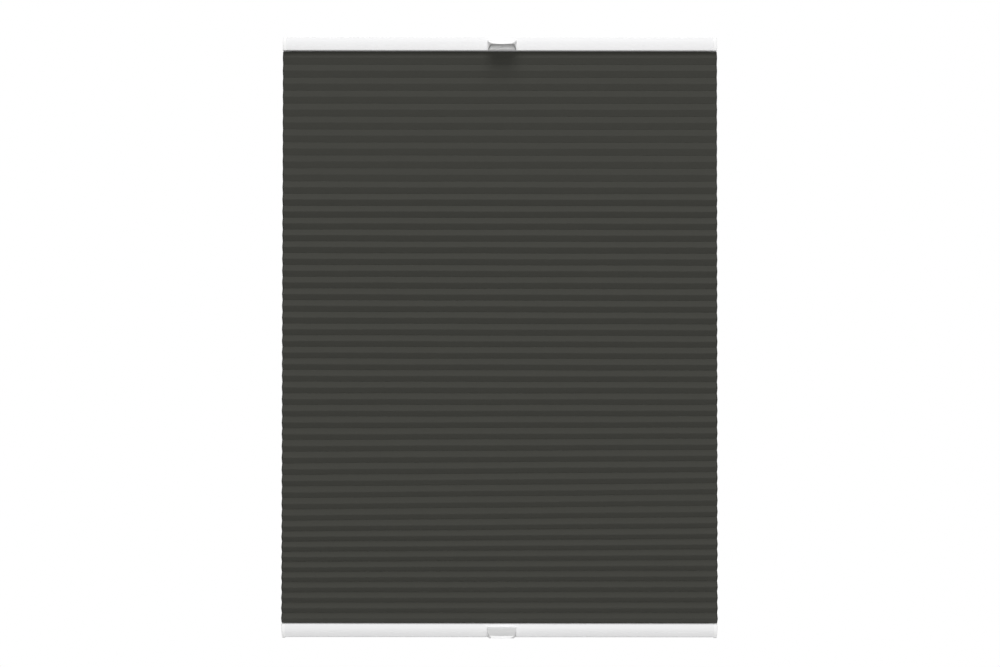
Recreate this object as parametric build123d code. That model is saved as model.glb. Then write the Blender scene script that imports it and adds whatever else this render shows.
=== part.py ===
"""A tensioned honeycomb pleated blind: two white aluminium rails, each with a pull handle and end caps, and a
dark honeycomb fabric between them. The bottom rail slides up and the cells fold flat under the top rail.

Frame: X runs along the rails, the room is on the -Y side and +Z is up. The origin is the middle of the top
rail's flat top face, where the blind is held. Lengths are in millimetres and angles in degrees.
"""

from build123d import *
from math import ceil, sqrt
import os

# Overall sizes
fabric_width = 600.0        # the cut width of the cells
drop = 789.0                # fabric height between the two rails
cloth_overhang = 0.8        # how far the cells stand out past each end cap

# Rail extrusion: a closed chamber away from the fabric and a T channel that faces the fabric
rail_depth = 22.0           # front to back, at the crown of the curved faces
rail_height = 18.0
face_crown = 1.2            # how far the front and back faces bulge
rail_wall = 1.2
rail_corner = 1.3           # radius of the four outer corners
chamber_height = 9.0
web = 1.0                   # floor between the chamber and the T channel
slot_width = 6.0            # gap between the two lips that hold the fabric

# Honeycomb fabric
cell_face = 19.2            # cloth from crease to crease on one side of a cell
opening_top = 0.948         # share of that face that the top cell spans in height: it carries the most weight
opening_bottom = 0.734      # share in the bottom cell, which carries the least
bond_width = 4.0            # glued strip where one cell meets the next
cloth = 0.35                # thickness of one layer
fabric_gap = 0.1            # between the first glued strip and the rail's lips

# Flat strip that locks the fabric's end cell in the T channel
strip_width = 13.8
strip_thickness = 1.2
strip_gap = 0.1             # round the strip, inside its cell
end_stop = 6.0              # from the rail's end to the strip's end cell

# Cord passage: the tension cords themselves are not part of the model
cord_line = 200.0           # from the middle to each vertical cord
cord_hole = 4.0             # diameter in the rail's web and in the strip
cloth_hole = 3.0            # diameter punched through the glued strips
guide_length = 24.0
guide_fit = 0.15            # clearance of a guide or a plug in the chamber
guide_groove = 3.2          # width of the groove that leads the cord along the guide
guide_bore = 2.6            # diameter of the guide's turned-down hole
guide_pin = 2.0             # diameter of the steel pin that the cord turns over
guide_pin_fit = 0.05        # clearance round the pin
outlet_radius = 0.9         # where the cord leaves an end cap
outlet_length = 4.0         # wall of the outlet

# End caps
cap_flange = 5.0            # thickness of the part that shows
cap_proud = 1.0             # how far the flange stands out past the rail's faces
cap_strip_gap = 1.0         # between a cap's stub in the channel and the end of the strip's cell
cap_round = 0.9             # radius round the flange's outer edge
cap_plug = 12.0             # length of the plug in the chamber
cap_passage = 3.0           # square passage for the cord through the plug
top_cap_slant = 0.4         # how much shorter the flange is on the side away from the fabric
bottom_cap_slant = 1.2

# Handles
handle_root = 41.0          # width against the rail
handle_tip = 34.5           # width at the front edge
handle_draft = 4.0          # how far the sides lean in towards their foot, in degrees
handle_offset = 3.0         # from the rail's middle, to the right
handle_reach = 27.0         # from the rail's crown to the front edge
handle_bow = 1.2            # how far the front edge bulges in its middle
handle_tip_round = 3.0      # corner radius at the front edge
handle_top = 3.5            # from the rail's top face down to the root of the plate
handle_fall = 7.8           # drop of the plate from root to front edge
handle_dish = 0.8           # hollow in the plate behind the front rim
handle_rim = 1.6            # depth of the front rim
handle_dish_start = 6.4     # from the front edge back to the deepest point of the dish
handle_dish_fall = 0.8      # share of the plate's drop that is reached there
handle_lip = 3.3            # height of the front face
handle_lean = 0.9           # how far that face leans out at its foot
handle_foot = 17.4          # from the rail's top face down to the foot of the sides
handle_belly = 85.0         # radius of the front face's lower edge, which rises towards its ends
handle_wall = 1.7
handle_seat = 0.05          # gap between the handle's back and the rail
tab_width = 6.0
tab_height = 2.0
tab_top = 4.0               # from the rail's top face to the top of the tabs
tab_spacing = 24.0
tab_gap = 0.15              # round each tab, in the rail's slot
barb_reach = 1.6            # behind the rail's wall
barb_rise = 0.5             # how far a barb hooks below its slot
barb_step = 0.1             # how far a barb's ends stand back from the tab's

# Tension spring in the top rail
spring_outer = 6.0          # diameter
spring_wire = 0.8
spring_loop_wire = 0.7      # diameter of the wire in the loop at each end
spring_coils = 90.0         # length of the closed coils
spring_seat = 0.1           # between the coils and the rail's web

# Worked out from the sizes above
rail_span = fabric_width - 2 * cloth_overhang       # a rail with its two end caps
rail_length = rail_span - 2 * cap_flange
half_cell = cell_face / 2
channel_floor = rail_wall + chamber_height          # depth of the web's chamber side, from the closed face
channel_roof = channel_floor + web                  # depth of the web's fabric side
lip_level = rail_height - rail_wall                 # depth of the lips' inner side
fabric_top = -rail_height - fabric_gap
fabric_drop = drop - 2 * fabric_gap
bottom_rail_top = -rail_height - drop
far = 4 * rail_depth                                # safely past any part of a section
near = 0.01                                         # tells levels apart


# ---------------------------------------------------------------- rail

def rail_outline(corner=rail_corner):
    """Outside shape of the rail's section: flat on both edges, curved on the front and back."""
    half = rail_depth / 2 - face_crown
    back = ThreePointArc((half, 0), (rail_depth / 2, -rail_height / 2), (half, -rail_height))
    front = ThreePointArc((-half, -rail_height), (-rail_depth / 2, -rail_height / 2), (-half, 0))
    edges = (Line((-half, 0), (half, 0)), Line((half, -rail_height), (-half, -rail_height)))
    outline = make_face([edges[0], back, edges[1], front])
    return fillet(outline.vertices(), corner) if corner else outline


def band(low, high, width=far):
    """A rectangle across the section between two depths below the closed face."""
    return Pos(0, -(low + high) / 2) * Rectangle(width, high - low)


def inside(low, high, clearance=0.0):
    """The space inside the rail's walls between two depths, shrunk by a clearance all round."""
    core = offset(rail_outline(corner=0), amount=-(rail_wall + clearance))
    return core & band(low + clearance, high - clearance)


def rail_section():
    chamber = inside(rail_wall, channel_floor)
    channel = inside(channel_roof, lip_level)
    slot = band(lip_level, rail_height, slot_width)
    return rail_outline() - chamber - channel - slot


def along_x(section, length, start=None):
    """Extrudes a section drawn in (Y, Z) along X, about the middle or from a start."""
    solid = extrude(Plane.YZ * section, amount=length)
    return Pos(-length / 2 if start is None else start, 0, 0) * solid


def tab_slots(top_of_rail):
    """Cutters for the two slots in the front wall that take the handle's tabs."""
    slot = Box(tab_width + 2 * tab_gap, 2 * (rail_wall + face_crown), tab_height + barb_rise + 2 * tab_gap)
    height = top_of_rail - tab_top - (tab_height + barb_rise) / 2
    places = (handle_offset - tab_spacing / 2, handle_offset + tab_spacing / 2)
    return [Pos(x, -rail_depth / 2, height) * slot for x in places]


def cord_holes(diameter, low, high):
    """Upright cutters on the two cord lines."""
    height = (low + high) / 2
    return [Pos(side * cord_line, 0, height) * Cylinder(diameter / 2, high - low) for side in (-1, 1)]


def make_rail():
    """A rail with its closed face up at z = 0 and its fabric channel down, before the handle's slots."""
    rail = along_x(rail_section(), rail_length)
    return rail - cord_holes(cord_hole, -channel_roof - web, -channel_floor + web)


def to_bottom(solid):
    """Turns a part of the top rail over into its place in the bottom rail."""
    return Pos(0, 0, bottom_rail_top - rail_height) * mirror(solid, about=Plane.XY)


# ---------------------------------------------------------------- end caps

def make_cap(slant):
    """The cap for the +X end of a rail with its closed face up at z = 0."""
    inner_end = rail_length / 2
    outer_end = rail_span / 2
    flange = along_x(offset(rail_outline(), amount=cap_proud), cap_flange, inner_end)
    # the outer end is a shallow curve that leans back on the closed side
    low, high = -rail_height - cap_proud, cap_proud
    shoulder = outer_end - slant
    end_arc = ThreePointArc((outer_end, low), (outer_end - slant / 4, (low + high) / 2), (shoulder, high))
    past = Polyline((shoulder, high), (shoulder, far), (0, far), (0, low), (outer_end, low))
    flange = flange & (Pos(0, far / 2, 0) * extrude(Plane.XZ * make_face([end_arc, past]), amount=far))
    # its rim is rounded all the way round, then its fabric side is cut level with the rail
    rim = [e for e in flange.edges() if e.bounding_box().min.X > shoulder - near]
    flange = fillet(rim, cap_round) & (Pos(0, 0, far / 2 - rail_height) * Box(4 * rail_span, far, far))
    plug = along_x(inside(rail_wall, channel_floor, guide_fit), cap_plug, inner_end - cap_plug)
    stub_length = end_stop - cap_strip_gap
    stub = along_x(inside(channel_roof, lip_level, guide_fit), stub_length, inner_end - stub_length)
    # the cord comes along the chamber and turns up through the outlet in the flange
    turn = inner_end + (cap_flange - slant) / 2
    passage_roof = outlet_length - cap_proud
    passage_start, passage_end = inner_end - cap_plug, turn + outlet_radius
    passage = Pos((passage_start + passage_end) / 2, 0, -passage_roof - cap_passage / 2) * Box(
        passage_end - passage_start, cap_passage, cap_passage)
    outlet = Pos(turn, 0, (cap_proud - passage_roof) / 2) * Cylinder(outlet_radius, outlet_length)
    return flange + plug + stub - passage - outlet


# ---------------------------------------------------------------- handle

def handle_plan(inset=0.0):
    """Outline seen from above: wide at the rail, narrower at a bowed front edge."""
    root = -rail_depth / 2 + rail_wall
    tip = -rail_depth / 2 - handle_reach + handle_bow
    half_root, half_tip = handle_root / 2, handle_tip / 2
    front = ThreePointArc((-half_tip, tip), (0, tip - handle_bow), (half_tip, tip))
    sides = Polyline((half_tip, tip), (half_root, root), (-half_root, root), (-half_tip, tip))
    plan = make_face([front, sides])
    corners = plan.vertices().sort_by(Axis.Y)[:2]
    plan = fillet(corners, handle_tip_round)
    return offset(plan, amount=-inset) if inset else plan


def handle_side(inset=0.0, floor=None):
    """Side view of the handle: a plate that falls to a rim, a leaning front face and a foot line back to the
    rail. With an inset it is the hollow beneath the plate, which runs down past a floor."""
    crown = -rail_depth / 2
    tip = crown - handle_reach
    root_y = crown + rail_wall
    slope = handle_fall / handle_reach
    root = (root_y, -handle_top + slope * rail_wall - inset)
    dish = (tip + handle_dish_start, -handle_top - handle_dish_fall * handle_fall - handle_dish - inset)
    rim_back = (tip + handle_rim + inset, -handle_top - handle_fall - inset)
    if inset:
        foot = [(rim_back[0], floor), (root_y, floor)]
    else:
        rim_front = (tip + handle_lean, -handle_top - handle_fall)
        foot = [rim_front, (tip, -handle_top - handle_fall - handle_lip), (root_y, -handle_foot)]
    plate = Spline(root, dish, rim_back, tangents=[(-1, -slope), (-1, 0.05)])
    rest = Polyline(rim_back, *foot, root)
    return make_face([plate, rest])


def make_handle(top_of_rail):
    """A hollow scoop: plate, two sides and a front lip, with two snap tabs through the rail's front wall."""
    def prism(plan):
        height = handle_foot - handle_top
        return Pos(0, 0, -handle_top) * extrude(plan, amount=height, dir=(0, 0, -1), taper=handle_draft)

    body = along_x(handle_side(), handle_root) & prism(handle_plan())
    # the belly runs down towards the rail steeply enough to leave the sides' feet there whole
    tip_foot = -handle_top - handle_fall - handle_lip
    run = handle_reach + rail_wall
    fall = tip_foot + handle_foot + handle_root ** 2 / (8 * handle_belly)
    tilt = Vector(0, -run, 0).get_angle(Vector(0, -run, fall))
    belly = Pos(0, 0, handle_belly) * Cylinder(handle_belly, 2 * far, rotation=(90, 0, 0))
    body = body & (Pos(0, -rail_depth / 2 - handle_reach, tip_foot) * Rot(-tilt, 0, 0) * belly)
    hollow = along_x(handle_side(handle_wall, -far), handle_root) & prism(handle_plan(handle_wall))
    hollow = hollow & (Pos(0, -rail_depth / 2 - handle_wall - far / 2, 0) * Box(far, far, 4 * far))
    rail_space = along_x(offset(rail_outline(), amount=handle_seat), 2 * handle_root)
    body = body - hollow - rail_space
    tab_back = -rail_depth / 2 + rail_wall + face_crown / 2 + barb_reach
    tab_length = handle_wall + rail_wall + face_crown / 2 + barb_reach
    tab = Box(tab_width, tab_length, tab_height)
    tab = Pos(0, tab_back - tab_length / 2, -tab_top - tab_height / 2) * tab
    barb = Pos(0, tab_back - (barb_reach - barb_step) / 2, -tab_top - tab_height - barb_rise / 2) * Box(
        tab_width, barb_reach - barb_step, barb_rise)
    for x in (-tab_spacing / 2, tab_spacing / 2):
        body = body + Pos(x, 0, 0) * (tab + barb)
    return Pos(handle_offset, 0, top_of_rail) * body


# ---------------------------------------------------------------- fabric

def cell_pitches():
    """Height of each cell from the top down. The fabric's own weight opens the top cells the most."""
    mean = (opening_top + opening_bottom) / 2
    count = ceil(fabric_drop / (cell_face * mean))
    shares = [opening_top + (opening_bottom - opening_top) * i / (count - 1) for i in range(count)]
    return [share * fabric_drop / sum(shares) for share in shares]


def cell_outline(top, pitch, inset=0.0):
    """The six corners of a cell, or of the hollow inside its cloth."""
    depth = sqrt(half_cell ** 2 - (pitch / 2) ** 2)
    # moving each side in by the cloth shortens the flat edges and draws the fronts in
    lean = depth / (pitch / 2)
    edge = bond_width / 2 - inset * (sqrt(1 + lean ** 2) - lean)
    point = bond_width / 2 + depth - inset * sqrt(1 + lean ** 2)
    upper, middle, lower = top - inset, top - pitch / 2, top - pitch + inset
    return [(-edge, upper), (-point, middle), (-edge, lower), (edge, lower), (point, middle), (edge, upper)]


def make_fabric():
    """All the cells as one piece of bonded cloth, with a flat end cell held in each rail's channel."""
    tops, z = [], fabric_top
    pitches = cell_pitches()
    for pitch in pitches:
        tops.append(z)
        z -= pitch
    cells = [cell_outline(top, pitch) for top, pitch in zip(tops, pitches)]
    hollows = [cell_outline(top, pitch, cloth) for top, pitch in zip(tops, pitches)]
    front = [point for cell in cells for point in cell[:2]] + [cells[-1][2]]
    back = [point for cell in reversed(cells) for point in cell[3:5]] + [cells[0][5]]
    outline = Wire.make_polygon([Vector(0, *p) for p in front + back])
    holes = [Wire.make_polygon([Vector(0, *p) for p in hollow]) for hollow in hollows]
    body = Pos(-fabric_width / 2, 0, 0) * Solid.extrude(Face(outline, holes), Vector(fabric_width, 0, 0))

    end_length = rail_length - 2 * end_stop
    end_width, end_height = end_cell_size()
    end_floor = -lip_level + fabric_gap
    end_cell = Pos(0, end_floor + end_height / 2) * (
        Rectangle(end_width, end_height) - Rectangle(end_width - 2 * cloth, end_height - 2 * cloth))
    neck = Pos(0, (fabric_top + end_floor) / 2) * Rectangle(bond_width, end_floor - fabric_top)
    end = along_x(end_cell + neck, end_length)
    fabric = Solid(body.wrapped) + end + to_bottom(end)
    return fabric - cord_holes(cloth_hole, bottom_rail_top - rail_height / 2, -channel_roof)


def end_cell_size():
    return strip_width + 2 * (strip_gap + cloth), strip_thickness + 2 * (strip_gap + cloth)


def make_strip():
    """The flat strip inside the top end cell."""
    bottom = -lip_level + fabric_gap + cloth + strip_gap
    length = rail_length - 2 * end_stop
    strip = Pos(0, 0, bottom + strip_thickness / 2) * Box(length, strip_width, strip_thickness)
    return strip - cord_holes(cord_hole, bottom - 1, bottom + strip_thickness + 1)


# ---------------------------------------------------------------- parts inside the chamber

def make_guide(side):
    """A block in the chamber that leads the cord along a groove and turns it down through the rail's web."""
    start = side * cord_line - guide_length / 2
    guide = along_x(inside(rail_wall, channel_floor, guide_fit), guide_length, start)
    roof = -rail_wall - guide_fit
    middle = -rail_wall - chamber_height / 2
    groove = Pos(side * cord_line + side * guide_length / 2, 0, (roof + middle) / 2) * Box(
        guide_length, guide_groove, roof - middle)
    down = Pos(side * cord_line, 0, (roof - channel_floor) / 2) * Cylinder(guide_bore / 2, chamber_height)
    return guide - groove - down - guide_pin_at(side, guide_pin / 2 + guide_pin_fit, rail_depth)


def guide_pin_at(side, radius, length):
    """A pin across a guide, at the edge where its groove meets the turned-down hole."""
    middle = -rail_wall - chamber_height / 2
    across = side * (cord_line + guide_bore / 2 + guide_pin / 2)
    return Pos(across, 0, middle - guide_pin / 2) * Rot(90, 0, 0) * Cylinder(radius, length)


def make_guide_pin(side):
    return guide_pin_at(side, guide_pin / 2, rail_depth - 2 * (rail_wall + face_crown))


def make_spring():
    """A closed-wound tension spring lying on the top rail's web, as a sleeve with a loop at each end."""
    centre = -channel_floor + spring_seat + spring_outer / 2
    coils = Cylinder(spring_outer / 2, spring_coils, rotation=(0, 90, 0)) - Cylinder(
        spring_outer / 2 - spring_wire, spring_coils, rotation=(0, 90, 0))
    loop_radius = (spring_outer - spring_wire) / 2
    loops = [Pos(side * spring_coils / 2, 0, 0) * Rot(90, 0, 0) * Torus(loop_radius, spring_loop_wire / 2)
             for side in (-1, 1)]
    bore = Cylinder(spring_outer / 2 - spring_wire, spring_coils, rotation=(0, 90, 0))
    return Pos(0, 0, centre) * (coils + [loop - bore for loop in loops])


# ---------------------------------------------------------------- all the parts

def make_parts():
    rail = make_rail()
    parts = {
        "top_rail": rail - tab_slots(0),
        "bottom_rail": to_bottom(rail) - tab_slots(bottom_rail_top),
        "top_handle": make_handle(0),
        "bottom_handle": make_handle(bottom_rail_top),
        "honeycomb_fabric": make_fabric(),
        "top_strip": make_strip(),
        "bottom_strip": to_bottom(make_strip()),
        "tension_spring": make_spring(),
    }
    for name, side in (("left", -1), ("right", 1)):
        top_cap, bottom_cap = make_cap(top_cap_slant), to_bottom(make_cap(bottom_cap_slant))
        if side < 0:
            top_cap, bottom_cap = (mirror(cap, about=Plane.YZ) for cap in (top_cap, bottom_cap))
        parts[f"top_cap_{name}"] = top_cap
        parts[f"bottom_cap_{name}"] = bottom_cap
        parts[f"top_cord_guide_{name}"] = make_guide(side)
        parts[f"bottom_cord_guide_{name}"] = to_bottom(make_guide(side))
        parts[f"top_guide_pin_{name}"] = make_guide_pin(side)
        parts[f"bottom_guide_pin_{name}"] = to_bottom(make_guide_pin(side))
    return parts


os.makedirs("parts", exist_ok=True)
for node, solid in make_parts().items():
    export_step(solid, f"parts/{node}.step")
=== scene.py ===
"""The looks of a honeycomb pleated blind: coated rails, moulded end caps and handles, dark cellular cloth.

The blind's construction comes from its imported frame, which is never moved. Lengths are in metres. X runs
along the rails, the room is on the -Y side and Z is up.
"""

import math
import random

import bmesh
import bpy
from bpy.props import FloatProperty, FloatVectorProperty, IntProperty, PointerProperty
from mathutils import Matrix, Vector


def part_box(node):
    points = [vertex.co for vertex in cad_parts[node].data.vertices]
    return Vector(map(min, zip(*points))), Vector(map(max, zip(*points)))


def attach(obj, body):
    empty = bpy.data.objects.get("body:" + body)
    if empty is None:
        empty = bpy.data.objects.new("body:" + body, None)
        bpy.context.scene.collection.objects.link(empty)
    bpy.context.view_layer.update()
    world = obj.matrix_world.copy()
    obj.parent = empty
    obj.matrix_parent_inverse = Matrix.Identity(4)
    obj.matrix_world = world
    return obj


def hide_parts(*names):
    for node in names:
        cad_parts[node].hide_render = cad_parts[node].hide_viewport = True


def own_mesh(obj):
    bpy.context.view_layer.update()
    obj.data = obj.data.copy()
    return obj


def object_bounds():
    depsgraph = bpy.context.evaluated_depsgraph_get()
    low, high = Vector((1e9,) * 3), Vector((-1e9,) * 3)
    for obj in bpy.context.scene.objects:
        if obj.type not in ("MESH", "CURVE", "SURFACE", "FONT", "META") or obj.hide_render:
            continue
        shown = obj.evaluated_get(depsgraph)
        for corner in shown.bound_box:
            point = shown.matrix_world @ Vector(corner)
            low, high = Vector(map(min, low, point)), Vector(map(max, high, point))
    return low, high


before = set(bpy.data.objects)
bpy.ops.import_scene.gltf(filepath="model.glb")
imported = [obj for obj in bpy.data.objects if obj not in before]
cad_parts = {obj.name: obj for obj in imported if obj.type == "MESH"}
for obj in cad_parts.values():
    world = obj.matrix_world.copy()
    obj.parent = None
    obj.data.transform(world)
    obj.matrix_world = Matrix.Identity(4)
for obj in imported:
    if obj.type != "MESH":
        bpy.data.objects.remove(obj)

bl_info = {
    "name": "Honeycomb Pleated Blind",
    "version": (1, 0, 0),
    "blender": (4, 5, 0),
    "location": "3D View > Sidebar > Blind",
    "description": "Builds the cloth, handles and finishes of a honeycomb pleated blind around its frame",
    "category": "Add Mesh",
}

MM = 0.001
CAD_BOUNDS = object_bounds()
TOP_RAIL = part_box("top_rail")
BOTTOM_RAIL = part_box("bottom_rail")
CLOTH_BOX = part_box("honeycomb_fabric")
TOP_BODY, BOTTOM_BODY = "top_rail_group", "bottom_rail_group"


# ---- settings

class ClothSettings(bpy.types.PropertyGroup):
    cell_face: FloatProperty(
        name="Cell face", description="Cloth from crease to crease on one side of a cell",
        default=19.2 * MM, unit="LENGTH")
    opening_top: FloatProperty(
        name="Top opening", description="Share of its face that a cell in the top band spans in height",
        default=0.946, subtype="FACTOR")
    opening_upper: FloatProperty(
        name="Upper opening", description="The same share where the middle band starts",
        default=0.889, subtype="FACTOR")
    opening_lower: FloatProperty(
        name="Lower opening", description="The same share where the middle band ends",
        default=0.798, subtype="FACTOR")
    opening_bottom: FloatProperty(
        name="Bottom opening", description="The same share in the bottom band",
        default=0.751, subtype="FACTOR")
    first_step: FloatProperty(
        name="First step", description="Share of the drop where the top band ends", default=0.211,
        subtype="FACTOR")
    second_step: FloatProperty(
        name="Second step", description="Share of the drop where the bottom band starts", default=0.814,
        subtype="FACTOR")
    step_length: FloatProperty(
        name="Step length", description="Share of the drop over which one band turns into the next",
        default=0.05, subtype="FACTOR")
    bond_width: FloatProperty(
        name="Bond width", description="Glued strip where two cells meet", default=4.0 * MM, unit="LENGTH")
    thickness: FloatProperty(
        name="Thickness", description="Thickness of one layer of cloth", default=0.32 * MM, unit="LENGTH")
    rail_gap: FloatProperty(
        name="Rail gap", description="Gap between the outer cells and the rails",
        default=0.1 * MM, unit="LENGTH")
    glue_gap: FloatProperty(
        name="Glue line", description="Seam between two bonded strips", default=0.008 * MM, unit="LENGTH")
    fold_radius: FloatProperty(
        name="Fold radius", description="Outer radius of the fold at the front of a cell",
        default=1.1 * MM, unit="LENGTH")
    crease_radius: FloatProperty(
        name="Crease radius", description="Outer radius where the cloth turns into a bond",
        default=0.55 * MM, unit="LENGTH")
    steps_across: IntProperty(
        name="Steps across", description="Stretches that the width is divided into", default=20)
    upper_lean: FloatProperty(
        name="Upper lean", description="How far the creases a little above the middle drop at the right end",
        default=0.45 * MM, unit="LENGTH")
    lower_lean: FloatProperty(
        name="Lower lean", description="How far the creases in the lower part rise at the right end",
        default=3.7 * MM, unit="LENGTH")
    waviness: FloatProperty(
        name="Waviness", description="Small wander of each crease along the width",
        default=0.12 * MM, unit="LENGTH")
    unevenness: FloatProperty(
        name="Unevenness", description="Share by which neighbouring cells differ in height",
        default=0.004, subtype="FACTOR")
    colour: FloatVectorProperty(
        name="Colour", description="Dyed colour of the cloth",
        subtype="COLOR", default=(0.0615, 0.0617, 0.0530))
    # painted shade: the cloth's colour is darkened in a narrow band at its cut ends, where the open cells lie
    # in shade
    end_shade_band: FloatProperty(
        name="End band", description="Width of the darker band at the cloth's cut ends",
        default=1.5 * MM, unit="LENGTH")
    end_shade: FloatProperty(
        name="End shade", description="Tone of the cut ends against the face", default=0.38, subtype="FACTOR")
    seed: IntProperty(name="Seed", description="Start of the cloth's random unevenness", default=11)


class RailSettings(bpy.types.PropertyGroup):
    coat_colour: FloatVectorProperty(
        name="Coat colour", description="Powder coat on the rails",
        subtype="COLOR", default=(0.85, 0.85, 0.855))
    coat_roughness: FloatProperty(
        name="Coat roughness", description="Roughness of the powder coat", default=0.44, subtype="FACTOR")
    peel_size: FloatProperty(
        name="Peel size", description="Size of the bumps in the powder coat", default=0.9 * MM, unit="LENGTH")
    plastic_colour: FloatVectorProperty(
        name="Plastic colour", description="Mouldings on the rails",
        subtype="COLOR", default=(0.91, 0.91, 0.91))
    plastic_roughness: FloatProperty(
        name="Plastic roughness", description="Roughness of the mouldings", default=0.45, subtype="FACTOR")


class HandleSettings(bpy.types.PropertyGroup):
    tip_width: FloatProperty(
        name="Tip width", description="Width of the handle at its front edge",
        default=34.5 * MM, unit="LENGTH")
    tip_round: FloatProperty(
        name="Tip rounding", description="Corner radius at the front edge", default=3.0 * MM, unit="LENGTH")
    fall: FloatProperty(
        name="Fall", description="Drop of the plate from rail to front edge", default=7.8 * MM, unit="LENGTH")
    lip: FloatProperty(
        name="Lip", description="Height of the front face", default=3.3 * MM, unit="LENGTH")
    lean: FloatProperty(
        name="Lean", description="How far the front face leans in towards its top",
        default=0.9 * MM, unit="LENGTH")
    draft: FloatProperty(
        name="Draft", description="How far each side leans in at its foot", default=0.95 * MM, unit="LENGTH")
    bow: FloatProperty(
        name="Bow", description="How far the front edge bulges in its middle",
        default=1.2 * MM, unit="LENGTH")
    belly: FloatProperty(
        name="Belly", description="How far the front face's lower edge rises at its ends",
        default=1.6 * MM, unit="LENGTH")
    rim: FloatProperty(
        name="Rim", description="From the front edge back to where the plate dips",
        default=1.7 * MM, unit="LENGTH")
    dish: FloatProperty(
        name="Dish", description="Depth of the dip in the plate", default=0.7 * MM, unit="LENGTH")
    dish_front: FloatProperty(
        name="Dish front", description="From the rim back to the deepest line of the dip",
        default=3.5 * MM, unit="LENGTH")
    dish_length: FloatProperty(
        name="Dish length", description="From the rim back to the end of the dip",
        default=12 * MM, unit="LENGTH")
    wall: FloatProperty(
        name="Wall", description="Wall thickness", default=1.7 * MM, unit="LENGTH")
    edge_round: FloatProperty(
        name="Edge rounding", description="Radius of the outer edges", default=0.55 * MM, unit="LENGTH")


class StageSettings(bpy.types.PropertyGroup):
    distance: FloatProperty(
        name="Distance", description="From the camera to the cloth", default=2.069, unit="LENGTH")
    lens: FloatProperty(
        name="Lens", description="Focal length in millimetres on a 36 mm sensor", default=54.0)
    aim_right: FloatProperty(
        name="Aim right", description="How far right of the middle the camera looks",
        default=0.45 * MM, unit="LENGTH")
    aim_up: FloatProperty(
        name="Aim up", description="How far above the middle the camera looks",
        default=4.45 * MM, unit="LENGTH")
    pitch: FloatProperty(
        name="Pitch", description="How far the camera looks up", default=math.radians(0.66), subtype="ANGLE")
    roll: FloatProperty(
        name="Roll", description="How far the camera is turned about its line of sight",
        default=math.radians(0.05), subtype="ANGLE")
    floor_drop: FloatProperty(
        name="Floor drop", description="From the bottom rail down to the floor", default=0.85, unit="LENGTH")
    floor_width: FloatProperty(
        name="Floor width", description="Width of the floor", default=6.0, unit="LENGTH")
    floor_depth: FloatProperty(
        name="Floor depth", description="Size of the floor from front to back", default=4.0, unit="LENGTH")
    floor_forward: FloatProperty(
        name="Floor forward", description="How far the floor's middle lies in front of the blind",
        default=0.9, unit="LENGTH")
    floor_colour: FloatVectorProperty(
        name="Floor colour", description="Plain pale floor", subtype="COLOR", default=(0.3, 0.3, 0.297))
    floor_glow: FloatProperty(
        name="Floor glow", description="Brightness that the floor shows by itself, as lit paper does",
        default=0.68)
    ambient: FloatProperty(
        name="Ambient", description="Strength of the light from all round", default=0.35)
    key_power: FloatProperty(
        name="Key power", description="Watts of the large soft light behind the camera", default=67.0)
    key_rise: FloatProperty(
        name="Key rise", description="Angle of the key light above the blind's middle",
        default=0.0, subtype="ANGLE")
    key_distance: FloatProperty(
        name="Key distance", description="From the key light to the blind", default=5.08, unit="LENGTH")
    key_size: FloatProperty(
        name="Key size", description="Width of the square key light", default=1.5, unit="LENGTH")
    top_power: FloatProperty(
        name="Top power", description="Watts of the soft light high in front", default=194.0)
    top_rise: FloatProperty(
        name="Top rise", description="Angle of the top light above the blind's middle",
        default=math.radians(45), subtype="ANGLE")
    top_distance: FloatProperty(
        name="Top distance", description="From the top light to the blind", default=6.0, unit="LENGTH")
    top_size: FloatProperty(
        name="Top size", description="Width of the square top light", default=4.0, unit="LENGTH")
    back_power: FloatProperty(
        name="Back power", description="Watts of the soft light behind the blind", default=80.0)
    back_rise: FloatProperty(
        name="Back rise", description="Angle of the back light above the blind's middle",
        default=math.radians(30), subtype="ANGLE")
    back_distance: FloatProperty(
        name="Back distance", description="From the back light to the blind", default=5.0, unit="LENGTH")
    back_size: FloatProperty(
        name="Back size", description="Width of the square back light", default=3.0, unit="LENGTH")
    light_side: FloatProperty(
        name="Light side", description="How far right of the middle the lights stand",
        default=0.1, unit="LENGTH")


# ---- small helpers

def deselect():
    if bpy.context.object and bpy.context.object.mode != "OBJECT":
        bpy.ops.object.mode_set(mode="OBJECT")
    bpy.ops.object.select_all(action="DESELECT")


def pick(piece):
    deselect()
    piece.select_set(True)
    bpy.context.view_layer.objects.active = piece


def keep_place_in_mesh(piece):
    pick(piece)
    bpy.ops.object.transform_apply(location=True, rotation=True, scale=True)


def apply_modifier(piece, kind, **values):
    pick(piece)
    modifier = piece.modifiers.new(kind.title(), kind)
    for name, value in values.items():
        setattr(modifier, name, value)
    bpy.ops.object.modifier_apply(modifier=modifier.name)


def put_material(piece, material):
    piece.data.materials.clear()
    piece.data.materials.append(material)


def select_points(piece, test):
    """In edit mode, selects the vertices whose place passes the test."""
    edit = bmesh.from_edit_mesh(piece.data)
    edit.select_mode = {"VERT"}
    for point in edit.verts:
        point.select = bool(test(point.co))
    edit.select_flush_mode()
    bmesh.update_edit_mesh(piece.data)


def cut(piece, point, normal):
    """In edit mode, cuts new edges round the piece where a plane crosses it."""
    bpy.ops.mesh.select_all(action="SELECT")
    bpy.ops.mesh.bisect(plane_co=point, plane_no=normal)


# ---- shader groups

def new_group(name, inputs, outputs):
    """An empty shader group. Sockets are given as (name, kind, default)."""
    group = bpy.data.node_groups.new(name, "ShaderNodeTree")
    for way, sockets in (("INPUT", inputs), ("OUTPUT", outputs)):
        for label, kind, *default in sockets:
            socket = group.interface.new_socket(name=label, in_out=way, socket_type=f"NodeSocket{kind}")
            if default:
                socket.default_value = default[0]
    return group, group.nodes.new("NodeGroupInput"), group.nodes.new("NodeGroupOutput")


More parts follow.
